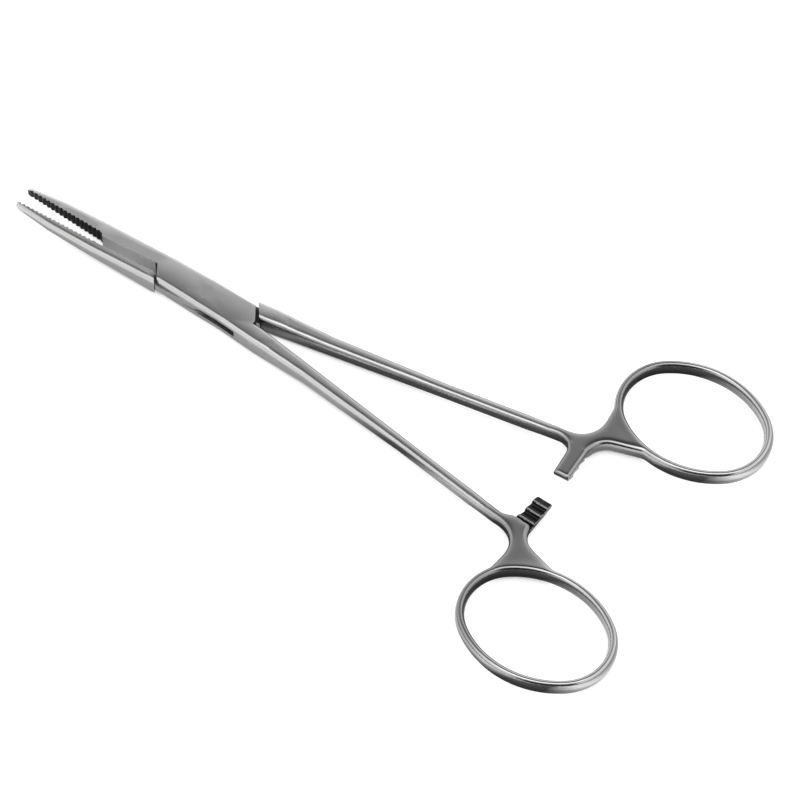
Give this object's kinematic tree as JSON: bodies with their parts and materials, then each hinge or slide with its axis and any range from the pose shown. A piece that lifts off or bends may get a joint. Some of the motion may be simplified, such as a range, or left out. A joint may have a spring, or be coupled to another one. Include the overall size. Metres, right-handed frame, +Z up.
{
  "type": "hemostat forceps",
  "caption": "Straight hemostat forceps with serrated jaws, a box lock, ratchet arms and finger rings.",
  "frame": {"origin": "on the rivet's axis at the lock's flat underside", "axes": "+X from the pivot to the finger rings, +Y towards the ring of the insert half, +Z up along the rivet"},
  "size_m": [0.14, 0.0732, 0.0042],
  "materials": {
    "satin_steel": "fine satin to polished stainless steel"
  },
  "bodies": {
    "box_side": {"box_half": "satin_steel", "pivot_pin": "satin_steel"},
    "insert_side": {"insert_half": "satin_steel"}
  },
  "joints": [
    {"name": "lock_hinge", "type": "hinge", "parent": "box_side", "child": "insert_side", "pos_m": [0, 0, 0], "axis": [0, 0, 1], "range_deg": [-4.2, 55]}
  ]
}
